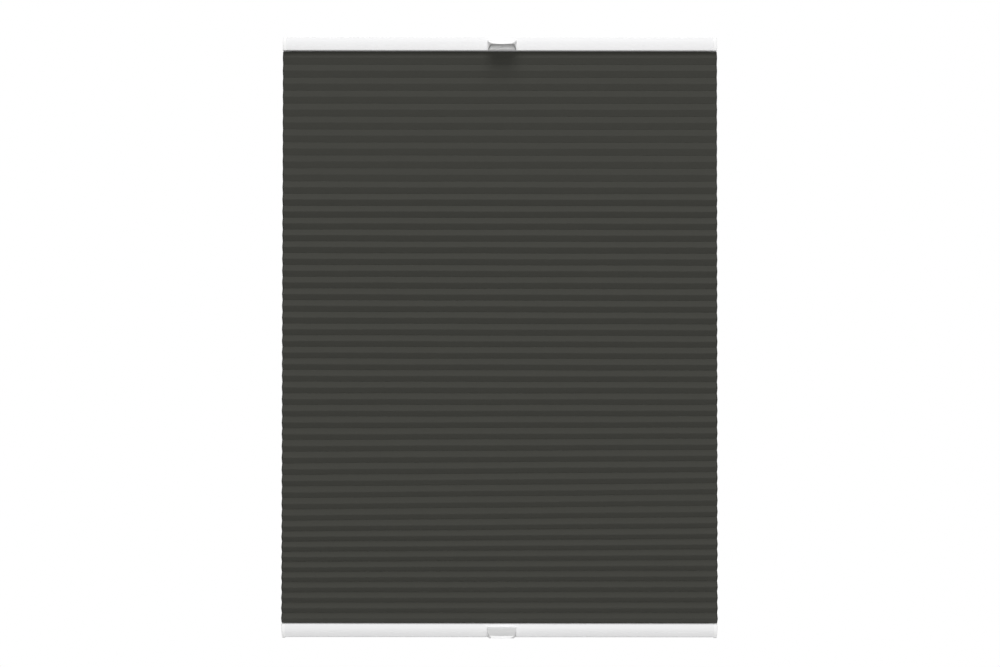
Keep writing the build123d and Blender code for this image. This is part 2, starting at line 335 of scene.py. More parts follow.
def add_node(tree, kind, values=None, **settings):
    node = tree.nodes.new(kind)
    for name, value in settings.items():
        setattr(node, name, value)
    for name, value in (values or {}).items():
        node.inputs[name].default_value = value
    return node


def tone_drift_group():
    """A base colour that drifts a little lighter and darker over the surface."""
    if "Tone drift" in bpy.data.node_groups:
        return bpy.data.node_groups["Tone drift"]
    tree, inside, out = new_group(
        "Tone drift",
        [("Vector", "Vector"), ("Colour", "Color", (0.8, 0.8, 0.8, 1)), ("Patch size", "Float", 0.05),
         ("Amount", "Float", 0.03)],
        [("Colour", "Color")])
    link = tree.links.new
    scale = add_node(tree, "ShaderNodeMath", {0: 1.0}, operation="DIVIDE")
    noise = add_node(tree, "ShaderNodeTexNoise", {"Detail": 3.0, "Roughness": 0.55})
    centred = add_node(tree, "ShaderNodeMath", {1: 0.5}, operation="SUBTRACT")
    change = add_node(tree, "ShaderNodeMath", operation="MULTIPLY")
    factor = add_node(tree, "ShaderNodeMath", {1: 1.0}, operation="ADD")
    tinted = add_node(tree, "ShaderNodeVectorMath", operation="SCALE")
    link(inside.outputs["Patch size"], scale.inputs[1])
    link(inside.outputs["Vector"], noise.inputs["Vector"])
    link(scale.outputs[0], noise.inputs["Scale"])
    link(noise.outputs["Fac"], centred.inputs[0])
    link(centred.outputs[0], change.inputs[0])
    link(inside.outputs["Amount"], change.inputs[1])
    link(change.outputs[0], factor.inputs[0])
    link(inside.outputs["Colour"], tinted.inputs[0])
    link(factor.outputs[0], tinted.inputs["Scale"])
    link(tinted.outputs[0], out.inputs["Colour"])
    return tree


def fine_peel_group():
    """The low bumps of a sprayed or moulded skin, as a height and as a roughness that follows it."""
    if "Fine peel" in bpy.data.node_groups:
        return bpy.data.node_groups["Fine peel"]
    tree, inside, out = new_group(
        "Fine peel",
        [("Vector", "Vector"), ("Bump size", "Float", 0.001), ("Roughness", "Float", 0.35),
         ("Spread", "Float", 0.06)],
        [("Height", "Float"), ("Roughness", "Float")])
    link = tree.links.new
    scale = add_node(tree, "ShaderNodeMath", {0: 1.0}, operation="DIVIDE")
    bumps = add_node(tree, "ShaderNodeTexNoise", {"Detail": 2.0, "Roughness": 0.4})
    grain_scale = add_node(tree, "ShaderNodeMath", {1: 5.0}, operation="MULTIPLY")
    grain = add_node(tree, "ShaderNodeTexNoise", {"Detail": 1.0})
    height = add_node(tree, "ShaderNodeMath", {1: 0.2}, operation="MULTIPLY_ADD")
    centred = add_node(tree, "ShaderNodeMath", {1: 0.5}, operation="SUBTRACT")
    rough = add_node(tree, "ShaderNodeMath", operation="MULTIPLY_ADD")
    link(inside.outputs["Bump size"], scale.inputs[1])
    link(scale.outputs[0], bumps.inputs["Scale"])
    link(scale.outputs[0], grain_scale.inputs[0])
    link(grain_scale.outputs[0], grain.inputs["Scale"])
    for texture in (bumps, grain):
        link(inside.outputs["Vector"], texture.inputs["Vector"])
    link(grain.outputs["Fac"], height.inputs[0])
    link(bumps.outputs["Fac"], height.inputs[2])
    link(height.outputs[0], out.inputs["Height"])
    link(bumps.outputs["Fac"], centred.inputs[0])
    link(centred.outputs[0], rough.inputs[0])
    link(inside.outputs["Spread"], rough.inputs[1])
    link(inside.outputs["Roughness"], rough.inputs[2])
    link(rough.outputs[0], out.inputs["Roughness"])
    return tree


def cloth_web_group():
    """Pressed cloth: fine ribs of yarn crossed by a matted web of fibres, as a colour and a height."""
    if "Cloth web" in bpy.data.node_groups:
        return bpy.data.node_groups["Cloth web"]
    tree, inside, out = new_group(
        "Cloth web",
        [("Vector", "Vector"), ("Colour", "Color", (0.06, 0.06, 0.053, 1)), ("Yarn size", "Float", 0.0005),
         ("Depth", "Float", 0.35)],
        [("Colour", "Color"), ("Height", "Float")])
    link = tree.links.new
    scale = add_node(tree, "ShaderNodeMath", {0: 1.0}, operation="DIVIDE")
    sized = add_node(tree, "ShaderNodeVectorMath", operation="SCALE")
    link(inside.outputs["Yarn size"], scale.inputs[1])
    link(inside.outputs["Vector"], sized.inputs[0])
    link(scale.outputs[0], sized.inputs["Scale"])
    heights = []
    for direction, stretch in (("Y", (0.16, 1.0, 1.0)), ("X", (1.0, 0.16, 1.0))):
        yarn = add_node(tree, "ShaderNodeTexWave", {"Scale": 0.32, "Distortion": 1.6, "Detail": 2.0,
                                                    "Detail Scale": 1.5}, bands_direction=direction)
        fibres = add_node(tree, "ShaderNodeTexNoise", {"Scale": 0.9, "Detail": 3.0, "Roughness": 0.6})
        drawn = add_node(tree, "ShaderNodeVectorMath", {1: stretch}, operation="MULTIPLY")
        both = add_node(tree, "ShaderNodeMath", {1: 1.6}, operation="MULTIPLY_ADD")
        link(sized.outputs[0], yarn.inputs["Vector"])
        link(sized.outputs[0], drawn.inputs[0])
        link(drawn.outputs[0], fibres.inputs["Vector"])
        link(fibres.outputs["Fac"], both.inputs[0])
        link(yarn.outputs["Fac"], both.inputs[2])
        heights.append(both)
    surface = add_node(tree, "ShaderNodeMath", operation="ADD")
    link(heights[0].outputs[0], surface.inputs[0])
    link(heights[1].outputs[0], surface.inputs[1])
    # the sum has its middle at 2.6 and seldom leaves the span from 1.2 to 4
    level = add_node(tree, "ShaderNodeMapRange",
                     {"From Min": 1.2, "From Max": 4.0, "To Min": -0.5, "To Max": 0.5})
    change = add_node(tree, "ShaderNodeMath", operation="MULTIPLY")
    factor = add_node(tree, "ShaderNodeMath", {1: 1.0}, operation="ADD")
    tinted = add_node(tree, "ShaderNodeVectorMath", operation="SCALE")
    link(surface.outputs[0], level.inputs["Value"])
    link(level.outputs[0], change.inputs[0])
    link(inside.outputs["Depth"], change.inputs[1])
    link(change.outputs[0], factor.inputs[0])
    link(inside.outputs["Colour"], tinted.inputs[0])
    link(factor.outputs[0], tinted.inputs["Scale"])
    link(tinted.outputs[0], out.inputs["Colour"])
    link(level.outputs[0], out.inputs["Height"])
    return tree


def place_group(tree, group, values):
    return add_node(tree, "ShaderNodeGroup", values, node_tree=group)


def new_material(name, values):
    """A material with a Principled shader, its uniform values set on the shader itself."""
    material = bpy.data.materials.new(name)
    material.use_nodes = True
    tree = material.node_tree
    shader = tree.nodes["Principled BSDF"]
    for label, value in values.items():
        shader.inputs[label].default_value = value
    return material, tree, shader


def skin_material(name, colour, roughness, bump_size, bump_height, values,
                  patch=0.06, drift=0.025, spread=0.08):
    """A hard finish: powder coat, moulded plastic or drawn steel, told apart by its values."""
    if name in bpy.data.materials:
        return bpy.data.materials[name]
    material, tree, shader = new_material(name, values)
    link = tree.links.new
    place = add_node(tree, "ShaderNodeTexCoord").outputs["Object"]
    tone = place_group(tree, tone_drift_group(),
                       {"Colour": (*colour, 1), "Patch size": patch, "Amount": drift})
    peel = place_group(tree, fine_peel_group(),
                       {"Bump size": bump_size, "Roughness": roughness, "Spread": spread})
    bump = add_node(tree, "ShaderNodeBump", {"Strength": 0.6, "Distance": bump_height})
    link(place, tone.inputs["Vector"])
    link(place, peel.inputs["Vector"])
    link(tone.outputs["Colour"], shader.inputs["Base Color"])
    link(peel.outputs["Roughness"], shader.inputs["Roughness"])
    link(peel.outputs["Height"], bump.inputs["Height"])
    link(bump.outputs["Normal"], shader.inputs["Normal"])
    return material


def powder_coat():
    rails = bpy.context.scene.blind_rails
    return skin_material("powder_coat_white", rails.coat_colour, rails.coat_roughness, rails.peel_size,
                         0.02 * MM, {"Specular IOR Level": 0.45})


def white_plastic():
    rails = bpy.context.scene.blind_rails
    return skin_material("moulded_white", rails.plastic_colour, rails.plastic_roughness, 0.45 * MM,
                         0.008 * MM, {"Specular IOR Level": 0.5, "Coat Weight": 0.08}, patch=0.02, drift=0.02)


def cloth_material():
    """Matt pressed cloth, with painted shade darkening a narrow band at its cut ends."""
    if "cell_cloth_anthracite" in bpy.data.materials:
        return bpy.data.materials["cell_cloth_anthracite"]
    cloth = bpy.context.scene.blind_cloth
    material, tree, shader = new_material(
        "cell_cloth_anthracite", {"Roughness": 0.86, "Diffuse Roughness": 1.0, "Specular IOR Level": 0.2,
                                  "Sheen Weight": 0.06, "Sheen Roughness": 0.5})
    link = tree.links.new
    place = add_node(tree, "ShaderNodeUVMap", uv_map="cloth_length").outputs["UV"]
    tone = place_group(tree, tone_drift_group(),
                       {"Colour": (*cloth.colour, 1), "Patch size": 0.03, "Amount": 0.08})
    web = place_group(tree, cloth_web_group(), {"Yarn size": 0.42 * MM, "Depth": 0.3})
    bump = add_node(tree, "ShaderNodeBump", {"Strength": 0.55, "Distance": 0.05 * MM})
    link(place, tone.inputs["Vector"])
    link(place, web.inputs["Vector"])
    link(tone.outputs["Colour"], web.inputs["Colour"])
    place_in_piece = add_node(tree, "ShaderNodeSeparateXYZ")
    link(add_node(tree, "ShaderNodeTexCoord").outputs["Object"], place_in_piece.inputs[0])
    from_middle = add_node(tree, "ShaderNodeMath", operation="ABSOLUTE")
    link(place_in_piece.outputs["X"], from_middle.inputs[0])
    half_width = CLOTH_BOX[1].x
    # painted shade: the base colour is darkened towards the cut ends of the cells
    end_shade_tone = add_node(tree, "ShaderNodeMapRange", {
        "From Min": half_width - cloth.end_shade_band, "From Max": half_width - 0.8 * cloth.end_shade_band,
        "To Min": 1.0, "To Max": cloth.end_shade})
    link(from_middle.outputs[0], end_shade_tone.inputs["Value"])
    toned = add_node(tree, "ShaderNodeVectorMath", operation="SCALE")
    link(web.outputs["Colour"], toned.inputs[0])
    link(end_shade_tone.outputs[0], toned.inputs["Scale"])
    link(toned.outputs[0], shader.inputs["Base Color"])
    link(web.outputs["Height"], bump.inputs["Height"])
    link(bump.outputs["Normal"], shader.inputs["Normal"])
    return material


# ---- cloth

# shares of the drop at which the creases lean the most, and over which that lean fades
UPPER_LEAN_AT, UPPER_LEAN_FADE = 0.47, 0.17
LOWER_LEAN_AT, LOWER_LEAN_FADE = 0.815, 0.135
# how fast a crease's wander turns, in radians: from the middle to an end, and from the top to the bottom
WANDER_ACROSS, WANDER_DOWN = 7.0, 60.0
# distance beside a rounded corner at which an extra point keeps the flat cloth flat
OUTER_GUARD, INNER_GUARD, HEM_GUARD = 0.35 * MM, 0.3 * MM, 0.4 * MM
LEAST_INNER_RADIUS = 0.15 * MM
CLOTH_SMOOTH_ANGLE = math.radians(50)


def rounded_outline(corners, radii, steps, guard):
    """Points round a closed convex outline whose corners are arcs, with a guard point beside each arc."""
    outline = []
    for i, corner in enumerate(corners):
        before = (corners[i - 1] - corner).normalized()
        after = (corners[(i + 1) % len(corners)] - corner).normalized()
        half = before.angle(after) / 2
        reach = radii[i] / math.tan(half)
        centre = corner + (before + after).normalized() * (radii[i] / math.sin(half))
        start, end = corner + before * reach - centre, corner + after * reach - centre
        turn = start.angle_signed(end)
        outline.append(corner + before * (reach + guard))
        for k in range(steps[i] + 1):
            angle = -turn * k / steps[i]
            outline.append(centre + Vector((
                start.x * math.cos(angle) - start.y * math.sin(angle),
                start.x * math.sin(angle) + start.y * math.cos(angle))))
        outline.append(corner + after * (reach + guard))
    return outline


def cell_corners(top, pitch, cloth, inset):
    """Six corners (Y, Z) of a cell's outside, or of its inside if inset by the cloth, from the upper front
    round."""
    half = cloth.cell_face / 2
    rise = pitch / 2
    depth = math.sqrt(half ** 2 - rise ** 2)
    lean = depth / rise
    edge = cloth.bond_width / 2 - inset * (math.sqrt(1 + lean ** 2) - lean)
    point = cloth.bond_width / 2 + depth - inset * math.sqrt(1 + lean ** 2)
    return [Vector(c) for c in ((-edge, top - inset), (-point, top - rise), (-edge, top - pitch + inset),
                                (edge, top - pitch + inset), (point, top - rise), (edge, top - inset))]


def ease(place, start, end):
    """A smooth step from 0 to 1."""
    t = min(max((place - start) / (end - start), 0.0), 1.0)
    return t * t * (3 - 2 * t)


def cell_heights(cloth, drop):
    """Height of each cell from the top down. The cloth's weight opens the upper cells the most, and the stack
    settles in three bands: open cells at the top, a long middle and flatter cells at the bottom."""
    mean = (cloth.opening_top + cloth.opening_upper + cloth.opening_lower + cloth.opening_bottom) / 4
    count = math.ceil(drop / (cloth.cell_face * mean))
    half_step = cloth.step_length / 2
    dice = random.Random(cloth.seed)
    shares = []
    for i in range(count):
        place = i / (count - 1)
        middle = cloth.opening_upper + (cloth.opening_lower - cloth.opening_upper) * place
        in_middle = ease(place, cloth.first_step - half_step, cloth.first_step + half_step)
        in_bottom = ease(place, cloth.second_step - half_step, cloth.second_step + half_step)
        share = cloth.opening_top + (middle - cloth.opening_top) * in_middle
        share += (cloth.opening_bottom - share) * in_bottom
        shares.append(share * (1 + cloth.unevenness * dice.uniform(-1, 1)))
    return [share * drop / sum(shares) for share in shares]


def swell(place, middle, spread):
    """A smooth hump, 1 at its middle."""
    return math.exp(-((place - middle) / spread) ** 2)


def hang(cloth, x, z, share):
    """Height at which a point of the straight cloth really hangs: creases lean and wander a little across the
    width, and the rails hold the first and last ones straight."""
    half_width = CLOTH_BOX[1].x
    looseness = math.sqrt(math.sin(math.pi * share))
    lean = cloth.lower_lean * swell(share, LOWER_LEAN_AT, LOWER_LEAN_FADE)
    lean -= cloth.upper_lean * swell(share, UPPER_LEAN_AT, UPPER_LEAN_FADE)
    wander = cloth.waviness * math.sin(WANDER_ACROSS * x / half_width + WANDER_DOWN * share)
    return z + looseness * (lean * x / half_width + wander)


def cloth_span(cloth):
    """The level that the cells hang from, and their drop from there."""
    top = TOP_RAIL[0].z - cloth.rail_gap
    return top, top - BOTTOM_RAIL[1].z - cloth.rail_gap


def extruded_tube(outer, inner, places, shift):
    """Vertices, faces and cloth coordinates of a thin-walled tube along X, with its cut ends closed."""
    count = len(outer)
    vertices, faces, maps = [], [], []
    run = [0.0]
    for i in range(count):
        run.append(run[-1] + (outer[(i + 1) % count] - outer[i]).length)
    for x in places:
        for loop in (outer, inner):
            vertices += [shift(x, point) for point in loop]
    ring = 2 * count

    def coordinates(i, j):
        return places[j], run[i]

    for j in range(len(places) - 1):
        for i in range(count):
            k = (i + 1) % count
            a, b = j * ring, (j + 1) * ring
            square = [coordinates(i, j), coordinates(i, j + 1), coordinates(i + 1, j + 1),
                      coordinates(i + 1, j)]
            faces.append((a + i, b + i, b + k, a + k))
            maps.append(square)
            faces.append((a + count + i, a + count + k, b + count + k, b + count + i))
            maps.append([square[0], square[3], square[2], square[1]])
    last = (len(places) - 1) * ring
    for i in range(count):
        k = (i + 1) % count
        near, far = coordinates(i, 0), coordinates(i, -1)
        faces.append((i, k, count + k, count + i))
        maps.append([near, near, near, near])
        faces.append((last + i, last + count + i, last + count + k, last + k))
        maps.append([far, far, far, far])
    return vertices, faces, maps


def mesh_piece(name, tubes, material):
    """One piece from several tubes, with their cloth coordinates as a UV map in metres."""
    vertices, faces, maps = [], [], []
    for tube_vertices, tube_faces, tube_maps in tubes:
        start = len(vertices)
        vertices += tube_vertices
        faces += [tuple(start + i for i in face) for face in tube_faces]
        maps += tube_maps
    mesh = bpy.data.meshes.new(name)
    mesh.from_pydata(vertices, [], faces)
    uv = mesh.uv_layers.new(name="cloth_length")
    uv.data.foreach_set("uv", [value for square in maps for pair in square for value in pair])
    piece = bpy.data.objects.new(name, mesh)
    bpy.context.scene.collection.objects.link(piece)
    put_material(piece, material)
    pick(piece)
    bpy.ops.object.mode_set(mode="EDIT")
    bpy.ops.mesh.select_all(action="SELECT")
    bpy.ops.mesh.normals_make_consistent(inside=False)
    bpy.ops.object.mode_set(mode="OBJECT")
    bpy.ops.object.shade_smooth_by_angle(angle=CLOTH_SMOOTH_ANGLE)
    return piece


def make_cells(cloth):
    """The whole stack of bonded cells between the rails, and the length of cloth round all of them."""
    top, drop = cloth_span(cloth)
    half_width = CLOTH_BOX[1].x
    places = [half_width * (2 * j / cloth.steps_across - 1) for j in range(cloth.steps_across + 1)]
    radii = [cloth.crease_radius, cloth.fold_radius, cloth.crease_radius] * 2
    inner_radii = [max(r - cloth.thickness, LEAST_INNER_RADIUS) for r in radii]
    steps = [2, 4, 2] * 2  # stretches of each corner's arc
    tubes, level, cloth_run = [], top, 0.0

    def shift(x, point):
        share = min(max((top - point.y) / drop, 0.0), 1.0)
        return x, point.x, hang(cloth, x, point.y, share)

    for pitch in cell_heights(cloth, drop):
        cell_top, cell_height = level - cloth.glue_gap / 2, pitch - cloth.glue_gap
        outer = rounded_outline(
            cell_corners(cell_top, cell_height, cloth, 0), radii, steps, OUTER_GUARD)
        inner = rounded_outline(
            cell_corners(cell_top, cell_height, cloth, cloth.thickness), inner_radii, steps, INNER_GUARD)
        vertices, faces, maps = extruded_tube(outer, inner, places, shift)
        maps = [[(u, v + cloth_run) for u, v in square] for square in maps]
        tubes.append((vertices, faces, maps))
        cloth_run += 2 * (cloth.cell_face + cloth.bond_width)
        level -= pitch
    return mesh_piece("honeycomb_cells", tubes, cloth_material()), cloth_run


def upright_rectangle(half, low, high):
    """Four corners (Y, Z), from the upper front round."""
    return [Vector(c) for c in ((-half, high), (-half, low), (half, low), (half, high))]


def make_hem(cloth, name, strip, face):
    """The flat end cell that is locked round a strip in a rail's channel, with its neck out through the
    rail's slot as far as the level called face."""
    lo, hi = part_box(strip)
    slack, outer_radius, inner_radius, stretches = 0.1 * MM, 0.5 * MM, 0.2 * MM, 12
    outside = slack + cloth.thickness
    places = [hi.x * (2 * j / stretches - 1) for j in range(stretches + 1)]

    def straight(x, point):
        return x, point.x, point.y

    loops = []
    for gap, radius in ((outside, outer_radius), (slack, inner_radius)):
        corners = upright_rectangle(hi.y + gap, lo.z - gap, hi.z + gap)
        loops.append(rounded_outline(corners, [radius] * 4, [3] * 4, HEM_GUARD))
    loop = extruded_tube(*loops, places, straight)
    low, high = sorted((lo.z - outside if face < lo.z else hi.z + outside, face))
    neck_half = cloth.bond_width / 2
    neck = extruded_tube(upright_rectangle(neck_half, low, high),
                         upright_rectangle(neck_half - cloth.thickness, low, high), places, straight)
    return mesh_piece(name, [loop, neck], cloth_material())


class BLIND_OT_cloth(bpy.types.Operator):
    """Hang the honeycomb cloth between the rails"""
    bl_idname = "blind.cloth"
    bl_label = "Honeycomb Cloth"

    def execute(self, context):
        cloth = context.scene.blind_cloth
        hung_from, drop = cloth_span(cloth)
        cells, flat_length = make_cells(cloth)
        top_hem = make_hem(cloth, "cloth_hem_top", "top_strip", hung_from)
        bottom_hem = make_hem(cloth, "cloth_hem_bottom", "bottom_strip", hung_from - drop)
        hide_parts("honeycomb_fabric")
        for piece, body in ((cells, TOP_BODY), (top_hem, TOP_BODY), (bottom_hem, BOTTOM_BODY)):
            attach(piece, body)
        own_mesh(cells)
        return {"FINISHED"}


# ---- handles

NEAR = 0.01 * MM  # points closer than this to a level are taken as on it
BOW_CUTS = 3  # cuts on each side of the middle that let the front edge bow
BOW_CLEAR = 1.5  # steps between the last of these cuts and the side
DISH_SHARE = 0.95  # share of the front edge's width over which the plate dips
DISH_NEAR = 0.4 * MM  # points closer than this to the plate dip with it
CORNER_STEPS = 5  # stretches of each rounded front corner
LEAST_CORNER = 0.8 * MM  # smallest front corner of the hollow
HANDLE_SEAT = 0.9 * MM  # how far the handle's back lies inside the rail's curved face
HOLLOW_BELOW = 8 * MM  # how far the tool that hollows the handle sticks out below it
BACK_WALL = 1.1  # back wall as a share of the other walls
EDGE_STEPS, EDGE_ANGLE = 3, math.radians(32)
HANDLE_SMOOTH_ANGLE = math.radians(35)


def make_scoop(name, lo, hi, inset, handle, foot):
    """A wedge that narrows and falls to a bowed front edge. Inset, it is the hollow beneath the plate."""
    middle = (lo.x + hi.x) / 2
    root, tip = hi.y - BACK_WALL * inset, lo.y + handle.bow + inset
    plate = hi.z - inset
    width = hi.x - lo.x - 2 * inset
    narrow = (handle.tip_width - 2 * inset) / width
    bpy.ops.mesh.primitive_cube_add(size=1, location=(middle, (root + tip) / 2, (plate + foot) / 2),
                                    scale=(width, root - tip, plate - foot))
    piece = bpy.context.object
    piece.name = name
    keep_place_in_mesh(piece)
    bpy.ops.object.mode_set(mode="EDIT")
    centre = (middle, (root + tip) / 2, plate)
    front_foot = hi.z - handle.fall - handle.lip
    # taper the front, draw the sides in towards their foot and set the slopes of plate and foot
    select_points(piece, lambda p: p.y < tip + NEAR)
    bpy.ops.transform.resize(value=(narrow, 1, 1), center_override=centre)
    select_points(piece, lambda p: p.z < foot + NEAR)
    bpy.ops.transform.resize(value=(1 - 2 * handle.draft / width, 1, 1), center_override=centre)
    select_points(piece, lambda p: p.y < tip + NEAR and p.z > plate - NEAR)
    bpy.ops.transform.translate(value=(0, handle.lean, -handle.fall))
    if not inset:
        select_points(piece, lambda p: p.y < tip + NEAR and p.z < foot + NEAR)
        bpy.ops.transform.translate(value=(0, 0, front_foot - foot))
    round_front_corners(piece, tip, max(handle.tip_round - inset, LEAST_CORNER), handle)
    # cuts that let the front bow and the plate dip
    half = handle.tip_width / 2 - inset
    cut_step = half / (BOW_CUTS + BOW_CLEAR)
    for k in range(-BOW_CUTS, BOW_CUTS + 1):
        cut(piece, (middle + k * cut_step, 0, 0), (1, 0, 0))
    rim = tip + handle.lean + handle.rim
    dish_bottom, dish_end = rim + handle.dish_front, rim + handle.dish_length
    for y in (rim, dish_bottom, dish_end):
        cut(piece, (0, y, 0), (0, 1, 0))
    # bow the front, one column of points at a time
    edit = bmesh.from_edit_mesh(piece.data)
    columns = sorted({round(v.co.x, 6) for v in edit.verts})
    for column in columns:
        off = min(abs(column - middle) / half, 1.0)
        select_points(piece, lambda p: abs(p.x - column) < NEAR and p.y < rim - NEAR)
        bpy.ops.transform.translate(value=(0, -handle.bow * (1 - off ** 2), 0))
        if not inset:
            select_points(piece, lambda p: (abs(p.x - column) < NEAR and p.y < rim - NEAR
                                            and p.z < front_foot + NEAR))
            bpy.ops.transform.translate(value=(0, 0, handle.belly * off ** 2))
    # dip the plate between its sides
    dish_level = plate - handle.fall * (root - dish_bottom) / (root - tip - handle.lean)
    select_points(piece, lambda p: (abs(p.y - dish_bottom) < NEAR and abs(p.z - dish_level) < DISH_NEAR
                                    and abs(p.x - middle) < DISH_SHARE * half))
    bpy.ops.transform.translate(value=(0, 0, -handle.dish))
    bpy.ops.object.mode_set(mode="OBJECT")
    return piece


def round_front_corners(piece, tip, radius, handle):
    """In edit mode, rounds the two upright edges at the front."""
    edit = bmesh.from_edit_mesh(piece.data)
    for edge in edit.edges:
        low, high = sorted((v.co for v in edge.verts), key=lambda c: c.z)
        upright = high.z - low.z > handle.lip / 2 and abs(high.x - low.x) < 2 * handle.draft
        edge.select = low.y < tip + NEAR and upright
    bmesh.update_edit_mesh(piece.data)
    bpy.ops.mesh.select_mode(type="EDGE")
    bpy.ops.mesh.bevel(offset=radius, segments=CORNER_STEPS, affect="EDGES")
    bpy.ops.mesh.select_mode(type="VERT")


def make_handle(rail, rail_front):
    """A hollow scoop whose plate, sides and lip are one moulding, its edges softly rounded."""
    handle = bpy.context.scene.blind_handle
    lo, hi = (corner.copy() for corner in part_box(f"{rail}_handle"))
    # the tabs behind the rail's face don't show, so the scoop ends just inside that face
    hi.y = rail_front + HANDLE_SEAT
    scoop = make_scoop(f"{rail}_handle_scoop", lo, hi, 0, handle, lo.z)
    deselect()
    hollow = make_scoop("hollow", lo, hi, handle.wall, handle, lo.z - HOLLOW_BELOW)
    apply_modifier(scoop, "BOOLEAN", object=hollow, operation="DIFFERENCE", solver="EXACT")
    bpy.data.objects.remove(hollow)
    apply_modifier(scoop, "BEVEL", width=handle.edge_round, segments=EDGE_STEPS, limit_method="ANGLE",
                   angle_limit=EDGE_ANGLE, harden_normals=False)
    pick(scoop)
    bpy.ops.object.shade_smooth_by_angle(angle=HANDLE_SMOOTH_ANGLE)
    put_material(scoop, white_plastic())
    return scoop


class BLIND_OT_handles(bpy.types.Operator):
    """Model the two pull handles"""
    bl_idname = "blind.handles"
    bl_label = "Pull Handles"

    def execute(self, context):
        for rail, box, body in (("top", TOP_RAIL, TOP_BODY), ("bottom", BOTTOM_RAIL, BOTTOM_BODY)):
            deselect()
            scoop = make_handle(rail, box[0].y)
            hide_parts(f"{rail}_handle")
            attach(scoop, body)
        return {"FINISHED"}


# ---- finishes of the carried-over pieces

class BLIND_OT_rails(bpy.types.Operator):
    """Give both rails their white powder coat"""
    bl_idname = "blind.rails"
    bl_label = "Powder Coated Rails"

    def execute(self, context):
        for name in ("top_rail", "bottom_rail"):
            put_material(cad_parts[name], powder_coat())
        return {"FINISHED"}


class BLIND_OT_caps(bpy.types.Operator):
    """Give the four end caps their moulded finish"""
    bl_idname = "blind.caps"
    bl_label = "End Caps"

    def execute(self, context):
        for name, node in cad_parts.items():
            if "_cap_" in name:
                put_material(node, white_plastic())
        return {"FINISHED"}


# ---- pieces inside the rails

SPRING_WIRE = 0.8 * MM
COIL_WIRE, LOOP_WIRE = 0.49, 0.45  # radius of the wire in coil and end loops, as a share of its thickness
LOOP_OVERLAP = 0.2 * MM  # how far each end loop reaches into the coil
TURN_STEPS = 12  # stretches of one turn of the coil


def make_spring():
    """A closed-wound extension spring: a wire turned about X, with half a ring of wire at each end."""
    lo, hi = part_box("tension_spring")
    outer = (hi.y - lo.y) / 2
    turn = outer - SPRING_WIRE / 2
    axis_height, coil_end = (lo.z + hi.z) / 2, hi.x - outer
    deselect()
    bpy.ops.mesh.primitive_circle_add(
        vertices=7, radius=COIL_WIRE * SPRING_WIRE, fill_type="NOTHING", rotation=(math.pi / 2, 0, 0),
        location=(SPRING_WIRE / 2 - coil_end, 0, turn))
    spring = bpy.context.object
    spring.name = "tension_spring_coil"
    keep_place_in_mesh(spring)
    turns = int(2 * coil_end / SPRING_WIRE) - 1
    apply_modifier(spring, "SCREW", axis="X", angle=math.tau, screw_offset=SPRING_WIRE, iterations=turns,
                   steps=TURN_STEPS, render_steps=TURN_STEPS)
    rings = []
    for side in (-1, 1):
        bpy.ops.mesh.primitive_torus_add(
            major_radius=turn, minor_radius=LOOP_WIRE * SPRING_WIRE, major_segments=32, minor_segments=8,
            location=(side * coil_end, 0, 0), rotation=(math.pi / 2, 0, 0))
        ring = bpy.context.object
        keep_place_in_mesh(ring)
        bpy.ops.object.mode_set(mode="EDIT")
        select_points(ring, lambda p: side * p.x < coil_end - LOOP_OVERLAP)
        bpy.ops.mesh.delete(type="VERT")
        bpy.ops.object.mode_set(mode="OBJECT")
        rings.append(ring)
    pick(spring)
    for ring in rings:
        ring.select_set(True)
    bpy.ops.object.join()
    bpy.ops.object.mode_set(mode="EDIT")
    bpy.ops.mesh.select_all(action="SELECT")
    bpy.ops.mesh.fill_holes(sides=0)
    bpy.ops.mesh.normals_make_consistent(inside=False)
    bpy.ops.transform.translate(value=(0, 0, axis_height))
    bpy.ops.object.mode_set(mode="OBJECT")
    bpy.ops.object.shade_smooth()
    return spring


def spring_steel():
    return skin_material("spring_steel_bright", (0.6, 0.6, 0.61), 0.22, 0.25 * MM, 0.003 * MM,
                         {"Metallic": 1.0}, drift=0.06, spread=0.2)


class BLIND_OT_spring(bpy.types.Operator):
    """Wind the tension spring that lies in the top rail"""
    bl_idname = "blind.spring"
    bl_label = "Tension Spring"

    def execute(self, context):
        spring = make_spring()
        put_material(spring, spring_steel())
        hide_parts("tension_spring")
        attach(spring, TOP_BODY)
        return {"FINISHED"}


class BLIND_OT_inner_parts(bpy.types.Operator):
    """Finish the strips, cord guides and pins inside the rails"""
    bl_idname = "blind.inner_parts"
    bl_label = "Inner Parts"

    def execute(self, context):
        strip = skin_material("strip_plastic_satin", (0.78, 0.78, 0.75), 0.5, 1.2 * MM, 0.01 * MM, {})
        guide = skin_material("guide_plastic_pale", (0.72, 0.74, 0.76), 0.42, 0.5 * MM, 0.01 * MM,
                              {"Subsurface Weight": 0.1, "Subsurface Scale": 1 * MM})
        for name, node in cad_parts.items():
            if "strip" in name:
                put_material(node, strip)
            elif "cord_guide" in name:
                put_material(node, guide)
            elif "pin" in name:
                put_material(node, spring_steel())
        return {"FINISHED"}


# ---- stage

def add_area_light(name, place, target, size, power):
    data = bpy.data.lights.new(name, "AREA")
    data.shape = "SQUARE"
    data.size = size
    data.energy = power
    light = bpy.data.objects.new(name, data)
    light.location = place
    light.rotation_euler = (target - place).to_track_quat("-Z", "Y").to_euler()
    bpy.context.scene.collection.objects.link(light)


